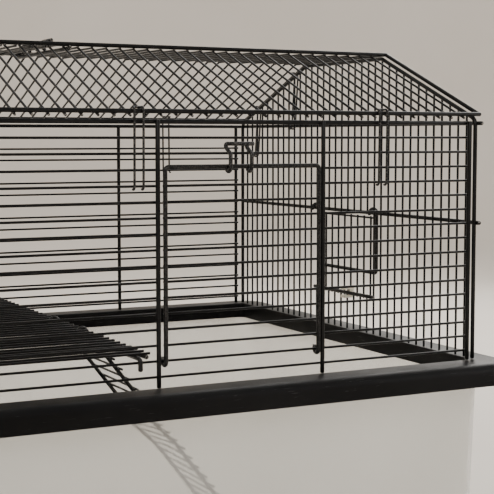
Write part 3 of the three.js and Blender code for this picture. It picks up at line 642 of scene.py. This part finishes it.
def over_roof(x, foot, drop):
    """The line of a bar that goes from the front eave over the flat top to the back eave."""
    knee = RIDGE_HALF - drop * math.tan(SLOPE_ANGLE / 2)
    flat = RIDGE_HEIGHT - drop
    front, back = (slope_point(facing, x, foot, drop) for facing in (-1, 1))
    return [front, (x, -knee, flat), (x, knee, flat), back]


def roof():
    wires = Wires(seed=51)
    for facing in (-1, 1):
        for y, z in ((HALF_DEPTH, EAVE_HEIGHT), (RIDGE_HALF, RIDGE_HEIGHT)):
            wires.bar((-LONG_WIRE_END, facing * y, z), (LONG_WIRE_END, facing * y, z), THICK)
    for side in (-1, 1):
        wires.wire(bent(over_roof(side * RAFTER_X, -RAFTER_STUB, 0), RAFTER_BEND), THICK)
        x, end = side * HATCH_FRAME_X, RIDGE_HALF + RIDGE_OVERLAP
        wires.bar((x, -end, HATCH_PIVOT_Z), (x, end, HATCH_PIVOT_Z), THICK)
        for facing in (-1, 1):
            wires.weld((x, facing * RIDGE_HALF, RIDGE_HEIGHT - THICK), THICK_WELD)
    for index in range(-ROOF_SIDE_BARS, ROOF_SIDE_BARS + 1):
        x = index * ROOF_PITCH
        if abs(x) < HATCH_FRAME_X + PITCH / 2:
            for facing in (-1, 1):
                top = slope_point(facing, x, SLOPE_LENGTH + RIDGE_OVERLAP, THIN_ON_THICK)
                wires.bar(slope_point(facing, x, -EAVE_STUB, THIN_ON_THICK), top)
        else:
            wires.wire(bent(over_roof(x, -EAVE_STUB, THIN_ON_THICK), ROOF_BAR_BEND), THIN)
        for facing in (-1, 1):
            wires.weld(slope_point(facing, x, 0, THICK))
            wires.weld((x, facing * RIDGE_HALF, RIDGE_HEIGHT - THICK))
    nodes = ["roof_front_slope", "roof_back_slope", "roof_top_left", "roof_top_right"]
    wires.build("roof_wires", nodes, "cage")


# ---- Hanging clips and latches. A plane turns (out, up, along) into a point. ----
def front_plane(x, z, facing=-1):
    return lambda out, up, along=0: (x + along, facing * (HALF_DEPTH + out), z + up)


def end_plane(end, y, z):
    return lambda out, up, along=0: (end * (HALF_LENGTH + out), y + along, z + up)


def in_plane(path, plane, along=0):
    return [plane(out, up, along) for out, up in path]


def roof_clip(plane, pivot_out, pivot_radius, held, lift):
    """One wire: a foot curled round the pivot, a leg, a hook over the held wire, and back down."""
    curl = pivot_radius + GAP + CLIP
    hook = THICK + GAP + CLIP + lift
    leg = arc((pivot_out, 0), curl, 235, 360) + arc(held, hook, 0, 105)
    path = in_plane(leg, plane, -CLIP_HALF) + in_plane(list(reversed(leg)), plane, CLIP_HALF)
    wires = Wires(seed=71)
    wires.wire(bent(path, CLIP_BEND, step=22), CLIP, wear=0.25)
    return wires


def long_wall_clips():
    rise = EAVE_HEIGHT - row_height(CLIP_ROW)
    for facing, wall, places in ((-1, "front", ("inner", "outer")), (1, "back", ("outer",))):
        for side, sign in (("left", -1), ("right", 1)):
            for place in places:
                node = f"{wall}_clip_{side}" + (f"_{place}" if facing < 0 else "")
                plane = front_plane(sign * CLIP_X[place], row_height(CLIP_ROW), facing)
                roof_clip(plane, 0, THIN, (0, rise), 0).build(node + "_wire", [node], node)


def gable_clips():
    for side, end in (("left", -1), ("right", 1)):
        for place, height in (("lower", GABLE_TIE_HEIGHT), ("upper", WALL_TOP)):
            node = f"gable_clip_{side}_{place}"
            y = GABLE_CLIP_Y[place]
            held = (RAFTER_X - HALF_LENGTH, roof_line(y, 0) - height)
            lift = CLIP_HALF * math.tan(SLOPE_ANGLE) + GABLE_CLIP_ROOM
            plane = end_plane(end, y, height)
            roof_clip(plane, THIN_ON_THICK, THICK, held, lift).build(node + "_wire", [node], node)


# ---- Doors ----
LATCH_FOOT = arc((0, 0), LATCH_CURL, 200, 360)


def front_door():
    wires = Wires(seed=91)
    hinge_z = row_height(DOOR_HINGE_ROW)
    curl = arc((0, 0), DOOR_CURL, 130, 360)
    left = in_plane(curl, front_plane(DOOR_LEFT, hinge_z))
    right = in_plane(curl, front_plane(DOOR_RIGHT, hinge_z))
    top = [(DOOR_LEFT, -DOOR_OUT, DOOR_TOP), (DOOR_RIGHT, -DOOR_OUT, DOOR_TOP)]
    wires.wire(bent([*left, *top, *reversed(right)], DOOR_CORNER), THICK, wear=0.12)
    bar_y = -(DOOR_OUT - THIN_ON_THICK)
    for row in range(CLIP_ROW, DOOR_HINGE_ROW):
        z = row_height(row)
        wires.bar((DOOR_LEFT - DOOR_BAR_STUB, bar_y, z), (DOOR_RIGHT + DOOR_BAR_STUB, bar_y, z))
        for x in (DOOR_LEFT, DOOR_RIGHT):
            wires.weld((x, bar_y - THIN, z))
    wires.build("front_door_wires", ["front_door"], "front_door")


def front_door_latch():
    def plane(out, up, along=0):
        return (LATCH_MIDDLE + along, -DOOR_OUT - out, DOOR_TOP + up)

    reach = row_height(LATCH_ROW) - DOOR_TOP
    grip = (DOOR_GRIP_OUT, DOOR_GRIP_UP)
    lean = [(LATCH_CURL, reach - DOOR_LATCH_LEAN), (DOOR_GRIP_OUT, reach + DOOR_LATCH_RISE)]
    leg = [*LATCH_FOOT, *lean, grip]
    right = in_plane(leg, plane, LATCH_HALF)
    left = in_plane(leg, plane, -LATCH_HALF)
    wires = Wires(seed=81)
    handle_end = plane(*grip, LATCH_HALF + DOOR_GRIP_STUB)
    wires.wire(bent([*left, handle_end], DOOR_LATCH_BEND), LATCH, wear=0.3)
    wires.wire(bent(right, DOOR_LATCH_BEND), LATCH, wear=0.3)
    wires.weld(plane(*grip, LATCH_HALF), LATCH_WELD)
    wires.build("front_door_latch_wires", ["front_door_latch"], "front_door_latch")


def side_door():
    wires = Wires(seed=101)
    hinge_z = row_height(CROSS_ROW)
    back_y, front_y = (end_bar_y(i) for i in (FLAP_FIRST_BAR - 0.5, FLAP_LAST_BAR + 0.5))
    side = [(FLAP_OUT, -FLAP_DROP), *arc((THIN_ON_THICK, 0), THICK_CURL, 0, 210)]
    near = in_plane(side, end_plane(1, front_y, hinge_z))
    far = in_plane(side, end_plane(1, back_y, hinge_z))
    wires.wire(bent([*reversed(near), *far], FLAP_BEND), THICK, wear=0.12)
    tie_x, tie_z = HALF_LENGTH + FLAP_TIE_OUT, hinge_z - FLAP_TIE_DROP
    wires.bar((tie_x, front_y - FLAP_TIE_STUB, tie_z), (tie_x, back_y + FLAP_TIE_STUB, tie_z))
    bar_x = HALF_LENGTH + FLAP_BAR_OUT
    for index in range(FLAP_FIRST_BAR, FLAP_LAST_BAR + 1):
        y = end_bar_y(index)
        wires.bar((bar_x, y, FLAP_FOOT), (bar_x, y, tie_z + FLAP_BAR_STUB))
        wires.weld((bar_x + THIN, y, hinge_z - FLAP_DROP))
        wires.weld(((bar_x + tie_x) / 2, y, tie_z), TIE_WELD)
    wires.build("side_door_wires", ["side_door"], "side_door")


def roof_hatch():
    wires = Wires(seed=111)
    for y in (-HATCH_HALF_DEPTH, HATCH_HALF_DEPTH):
        around = [(x, y, z) for x, z in arc((-HATCH_FRAME_X, HATCH_PIVOT_Z), THICK_CURL, 330, 90)]
        wires.wire([*around, (HATCH_FRAME_X + HATCH_ARM_STUB, y, HATCH_Z)], THICK, wear=0.12)
    end = HATCH_HALF_DEPTH + HATCH_BAR_STUB
    for x in (HATCH_LEFT_BAR_X, HATCH_BAR_X):
        wires.bar((x, -end, HATCH_Z), (x, end, HATCH_Z), THICK)
    z = HATCH_Z - THIN_ON_THICK
    for index in range(-HATCH_SIDE_BARS, HATCH_SIDE_BARS + 1):
        x = index * ROOF_PITCH
        wires.bar((x, -end, z), (x, end, z))
        for y in (-HATCH_HALF_DEPTH, HATCH_HALF_DEPTH):
            wires.weld((x, y, z + THIN))
    wires.build("roof_hatch_wires", ["roof_hatch"], "roof_hatch")


def roof_hatch_latch():
    def plane(out, up, along=0):
        return (HATCH_BAR_X + up, HATCH_LATCH_Y + along, HATCH_Z + out)

    reach = HATCH_FRAME_X - HATCH_BAR_X
    hook_up = reach + THICK + LATCH + HOOK_ROOM
    grip = (HATCH_GRIP_OUT, hook_up + HATCH_GRIP_UP)
    leg = [*LATCH_FOOT, (LATCH_CURL, reach - HATCH_LEG_LEAN), grip]
    hook = [(LATCH_CURL, reach - HATCH_HOOK_LEAN), (HATCH_HOOK_TOP, hook_up), (HATCH_HOOK_TIP, hook_up)]
    wires = Wires(seed=82)
    for along in (-LATCH_HALF, LATCH_HALF):
        wires.wire(bent(in_plane(leg, plane, along), HATCH_LEG_BEND), LATCH, wear=0.3)
        wires.wire(bent(in_plane(hook, plane, along), HATCH_HOOK_BEND), LATCH, wear=0.5)
        wires.weld(plane(*grip, along), LATCH_WELD)
    half = LATCH_HALF + HATCH_GRIP_STUB
    wires.wire([plane(*grip, -half), plane(*grip, half)], LATCH, wear=0.5)
    wires.build("roof_hatch_latch_wires", ["roof_hatch_latch"], "roof_hatch_latch")


# ---- Shelf and ladder ----
def shelf():
    wires = Wires(seed=121)
    left, right = SHELF_LEFT - SHELF_STUB, SHELF_RIGHT + SHELF_STUB
    for index in range(SHELF_SPACES + 1):
        y = -SHELF_HALF_DEPTH + index * SHELF_PITCH
        wires.bar((left, y, SHELF_HEIGHT), (right, y, SHELF_HEIGHT))
        for x in (SHELF_LEFT, SHELF_MIDDLE, SHELF_RIGHT):
            wires.weld((x, y, SHELF_HEIGHT - THIN))
    hook_y = HALF_DEPTH + SHELF_HOOK_OUT
    hook_z = row_height(DOOR_HINGE_ROW) - SHELF_HOOK_DROP
    for x in (SHELF_LEFT + SHELF_HOOK_INSET, SHELF_RIGHT - SHELF_HOOK_INSET):
        half = [(x, hook_y, hook_z), (x, hook_y, SHELF_WIRE_HEIGHT)]
        path = [(x, -y, z) for x, y, z in half] + list(reversed(half))
        wires.wire(bent(path, SHELF_HOOK_BEND), THICK, wear=0.1)
    end = SHELF_HALF_DEPTH + SHELF_WIRE_STUB
    for x in (SHELF_LEFT, SHELF_MIDDLE, SHELF_RIGHT):
        wires.bar((x, -end, SHELF_WIRE_HEIGHT), (x, end, SHELF_WIRE_HEIGHT), THICK)
    wires.build("shelf_wires", ["shelf"], "cage")


def ladder():
    wires = Wires(seed=131)
    down = Vector((math.cos(LADDER_ANGLE), 0, -math.sin(LADDER_ANGLE)))
    normal = Vector((math.sin(LADDER_ANGLE), 0, math.cos(LADDER_ANGLE)))
    pivot = Vector((SHELF_RIGHT, 0, SHELF_WIRE_HEIGHT))

    def at(distance, lift, y):
        return pivot + down * distance + normal * (THICK_CURL + lift) + Vector((0, y, 0))

    for y in LADDER_RAILS_Y:
        start = 90 - math.degrees(LADDER_ANGLE)
        around = [(x, y, z) for x, z in arc((SHELF_RIGHT, SHELF_WIRE_HEIGHT), THICK_CURL, 250, start)]
        wires.wire([*around, at(LADDER_LENGTH, 0, y)], THICK, wear=0.12)
    near, far = LADDER_RAILS_Y[0] - RUNG_STUB, LADDER_RAILS_Y[1] + RUNG_STUB
    for index in range(1, int((LADDER_LENGTH - LADDER_BARE_END) // RUNG_PITCH) + 1):
        distance = index * RUNG_PITCH
        wires.wire([at(distance, THIN_ON_THICK, y) for y in (near, far)], THIN, wear=0.15)
        for y in LADDER_RAILS_Y:
            wires.weld(at(distance, THICK, y))
    wires.build("ladder_wires", ["ladder"], "ladder")


# ---- Mouldings ----
def loft(rings, closed):
    """Faces between neighbouring rings of points. An open profile gets a cap at each end."""
    count = len(rings[0])
    faces = []
    for r in range(len(rings) if closed else len(rings) - 1):
        low, high = r * count, (r + 1) % len(rings) * count
        for i in range(count):
            j = (i + 1) % count
            faces.append((low + i, low + j, high + j, high + i))
    if not closed:
        top = (len(rings) - 1) * count
        faces.append(tuple(reversed(range(count))))
        faces.append(tuple(range(top, top + count)))
    return [point for ring in rings for point in ring], faces


def rim_corner(offset):
    return RIM_CORNER + RIM_CORNER_GROWTH * offset


def tub_corner(offset):
    return max(TUB_CORNER + offset - TUB_OFFSET, TUB_LEAST_CORNER)


def corner_ring(offset, z, radius):
    """A rounded rectangle at a distance outside the rim's inner edge."""
    cx, cy = RIM_INNER_X + offset - radius, RIM_INNER_Y + offset - radius
    ring = []
    for quarter, corner in enumerate([(cx, cy), (-cx, cy), (-cx, -cy), (cx, -cy)]):
        turn = 90 * quarter
        ring += [(x, y, z) for x, y in arc(corner, radius, turn, turn + 90, 90 / CORNER_STEPS)]
    return ring


def fillet(points, radii):
    """A profile in a plane with its corners rounded, closed on itself."""
    rounded = []
    count = len(points)
    for i, radius in enumerate(radii):
        here = Vector((*points[i], 0))
        before, after = Vector((*points[i - 1], 0)), Vector((*points[(i + 1) % count], 0))
        corner = bent([before, here, after], radius, step=16)[1:-1] if radius else [here]
        rounded += [(p.x, p.y) for p in corner]
    return rounded


def rim_frame():
    bottom = RIM_TOP - RIM_HEIGHT
    skirt = RIM_TOP - RIM_INNER_SKIRT
    corners = [
        (RIM_WIDTH - RIM_WALL, bottom, RIM_EDGE_ROUND),
        (RIM_WIDTH, bottom, RIM_EDGE_ROUND),
        (RIM_WIDTH, RIM_TOP, RIM_ROUND),
        (0, RIM_TOP, RIM_MOUTH_ROUND),
        (0, skirt, RIM_EDGE_ROUND),
        (RIM_WALL, skirt, RIM_EDGE_ROUND),
        (RIM_WALL, RIM_TOP - RIM_WALL, RIM_GROOVE_ROUND),
        (RIM_WIDTH - RIM_WALL, RIM_TOP - RIM_WALL, RIM_ROUND - RIM_WALL),
    ]
    profile = fillet([(offset, z) for offset, z, _ in corners], [radius for _, _, radius in corners])
    rings = [corner_ring(offset, z, rim_corner(offset)) for offset, z in profile]
    vertices, faces = loft(rings, closed=True)
    wear = [1.0 if z > bottom + 2 else 0.4 for _, _, z in vertices]
    name = "rim_frame"
    add_piece(name + "_shell", [name], "cage", RIM_FINISH, vertices, faces, wear, sharp=40)


def tub():
    top = RIM_TOP - RIM_WALL - GAP
    lip = top - TUB_WALL
    edge = TUB_OFFSET + TUB_LIP
    foot = TUB_OFFSET - TUB_DRAFT
    corner = (foot - TUB_BOTTOM_ROUND, TUB_BOTTOM_ROUND)
    rise = lip - TUB_LIP_FILLET - TUB_BOTTOM_ROUND
    heights = [TUB_BOTTOM_ROUND + rise * i / TUB_LEVELS for i in range(1, TUB_LEVELS + 1)]

    def wall(z):
        return foot + (TUB_OFFSET - foot) * (z - TUB_BOTTOM_ROUND) / (lip - TUB_BOTTOM_ROUND)

    profile = [
        *arc(corner, TUB_BOTTOM_ROUND, 270, 360, 12),
        *((wall(z), z) for z in heights),
        (TUB_OFFSET + TUB_LIP_ROUND, lip - TUB_LIP_ROUND),
        (TUB_OFFSET + TUB_LIP_FILLET, lip),
        (edge - TUB_LIP_ROUND, lip),
        (edge, lip + TUB_LIP_ROUND),
        (edge, top - TUB_LIP_ROUND),
        (edge - TUB_LIP_ROUND, top),
        (TUB_OFFSET - TUB_WALL + TUB_MOUTH_FLARE, top),
        *((wall(z) - TUB_WALL, z) for z in reversed(heights)),
        *arc(corner, TUB_BOTTOM_ROUND - TUB_WALL, 360, 270, 12),
    ]
    rings = [corner_ring(offset, z, tub_corner(offset)) for offset, z in profile]
    vertices, faces = loft(rings, closed=False)
    wear = [0.3 + 0.7 * max(0, 1 - z / 120) for _, _, z in vertices]
    name = "base_tub"
    add_piece(name + "_shell", [name], "cage", TUB_FINISH, vertices, faces, wear, sharp=50)


def side_door_catch():
    """The moulded block of the CAD model, with all its edges rounded."""
    node = "side_door_catch"
    shape = bmesh.new()
    shape.from_mesh(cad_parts[node].data)
    bmesh.ops.remove_doubles(shape, verts=shape.verts, dist=1e-6)
    bmesh.ops.dissolve_limit(shape, angle_limit=math.radians(2), verts=shape.verts, edges=shape.edges)
    bmesh.ops.bevel(
        shape,
        geom=shape.edges[:],
        offset=CATCH_ROUND * MM,
        segments=3,
        profile=0.5,
        affect="EDGES",
        clamp_overlap=True,
    )
    bmesh.ops.recalc_face_normals(shape, faces=shape.faces)
    vertices = [v.co / MM for v in shape.verts]
    shape.verts.index_update()
    faces = [tuple(v.index for v in face.verts) for face in shape.faces]
    shape.free()
    wear = [1.0] * len(vertices)
    body, slot = "side_door", "ivory_catch"
    add_piece(node + "_block", [node], body, CATCH_FINISH, vertices, faces, wear, sharp=50)


# ---- Stage, in metres ----
FLOOR_FLAT = 2.0
FLOOR_RADIUS = 5.0
COVE = 1.6
BACKDROP_TOP = 3.6
FLOOR_DROP = 0.0004  # keeps the floor clear of the tub's underside
FLOOR_SIDES = 96


def stage():
    """A pale floor that curves up into a wall all round."""
    cove = arc((FLOOR_RADIUS - COVE, COVE), COVE, 270, 360, 8)
    profile = [(FLOOR_FLAT, 0.0), *cove, (FLOOR_RADIUS, BACKDROP_TOP)]
    turns = [2 * math.pi * i / FLOOR_SIDES for i in range(FLOOR_SIDES)]
    vertices = [
        (r * math.cos(turn), r * math.sin(turn), z - FLOOR_DROP)
        for r, z in profile
        for turn in turns
    ]
    faces = [tuple(range(FLOOR_SIDES))]
    for ring in range(len(profile) - 1):
        low, high = ring * FLOOR_SIDES, (ring + 1) * FLOOR_SIDES
        for i in range(FLOOR_SIDES):
            j = (i + 1) % FLOOR_SIDES
            faces.append((low + j, low + i, high + i, high + j))
    mesh = bpy.data.meshes.new("studio_floor")
    mesh.from_pydata(vertices, [], faces)
    mesh.shade_smooth()
    mesh.materials.append(studio_paint())
    floor = bpy.data.objects.new("studio_floor", mesh)
    bpy.context.scene.collection.objects.link(floor)


def lamp(name, place, target, size, power, colour):
    data = bpy.data.lights.new(name, "AREA")
    data.size = size
    data.energy = power
    data.color = colour
    light = bpy.data.objects.new(name, data)
    light.location = place
    light.rotation_euler = (Vector(target) - Vector(place)).to_track_quat("-Z", "Y").to_euler()
    bpy.context.scene.collection.objects.link(light)


def lights():
    middle = (0, 0, 0.35)
    lamp("key", (-1.6, -2.2, 2.2), middle, 1.6, 60, (1, 0.97, 0.93))
    lamp("window", (2.2, 1.6, 1.9), middle, 1.8, 60, (1, 0.98, 0.95))
    lamp("fill", (2.4, -1.6, 1.2), middle, 1.5, 20, (0.95, 0.97, 1))
    world = bpy.data.worlds.new("studio_world")
    world.use_nodes = True
    background = world.node_tree.nodes["Background"]
    background.inputs["Color"].default_value = (1, 0.985, 0.96, 1)
    background.inputs["Strength"].default_value = 0.75
    bpy.context.scene.world = world


tub()
rim_frame()
front_wall()
back_wall()
end_walls()
roof()
front_door()
front_door_latch()
side_door()
side_door_catch()
roof_hatch()
roof_hatch_latch()
shelf()
ladder()
long_wall_clips()
gable_clips()
stage()
lights()
